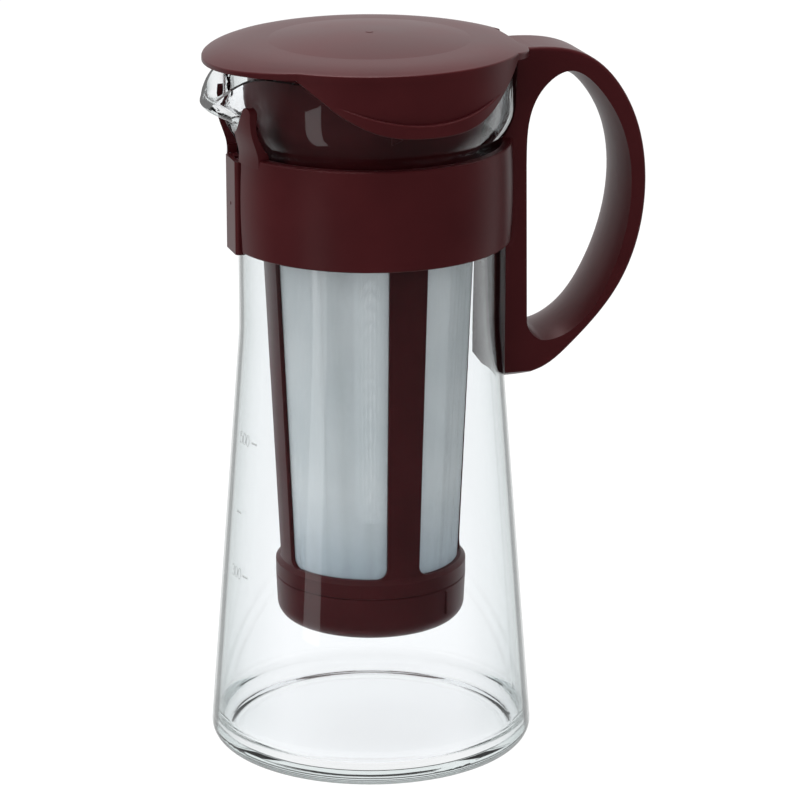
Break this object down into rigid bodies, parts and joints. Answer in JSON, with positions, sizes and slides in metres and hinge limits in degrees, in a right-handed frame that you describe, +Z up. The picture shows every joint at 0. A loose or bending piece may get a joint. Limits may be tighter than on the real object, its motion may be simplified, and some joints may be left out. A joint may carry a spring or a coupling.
{
  "type": "cold brew coffee maker",
  "caption": "Glass coffee carafe with a pouring spout, a plastic neck band and D handle, a flat lid and a hanging mesh strainer with a twist-off bottom cap.",
  "frame": {"origin": "centre of the flat base of the glass, on the axis of the jug", "axes": "+Z up along the axis of the jug, +X towards the handle, the spout at -X"},
  "size_m": [0.1273, 0.0932, 0.2084],
  "materials": {
    "glass": "clear",
    "plastic": "satin",
    "mesh": "fine woven strainer cloth"
  },
  "bodies": {
    "pot": {"glass_carafe": "glass", "handle_band": "plastic"},
    "clip": {"band_clip": "plastic"},
    "strainer": {"strainer_frame": "plastic", "mesh_panel_1": "mesh", "mesh_panel_2": "mesh", "mesh_panel_3": "mesh", "mesh_panel_4": "mesh"},
    "cap": {"strainer_cap": "plastic"},
    "lid": {"lid": "plastic"}
  },
  "joints": [
    {"name": "clip_slide", "type": "slide", "parent": "pot", "child": "clip", "axis": [0, 0, -1], "range_m": [0, 0.029]},
    {"name": "strainer_lift", "type": "slide", "parent": "pot", "child": "strainer", "axis": [0, 0, 1], "range_m": [0, 0.175]},
    {"name": "lid_lift", "type": "slide", "parent": "strainer", "child": "lid", "axis": [0, 0, 1], "range_m": [0, 0.06]},
    {"name": "cap_turn", "type": "hinge", "parent": "strainer", "child": "cap", "pos_m": [0, 0, 0.045], "axis": [0, 0, -1], "range_deg": [0, 60]}
  ]
}
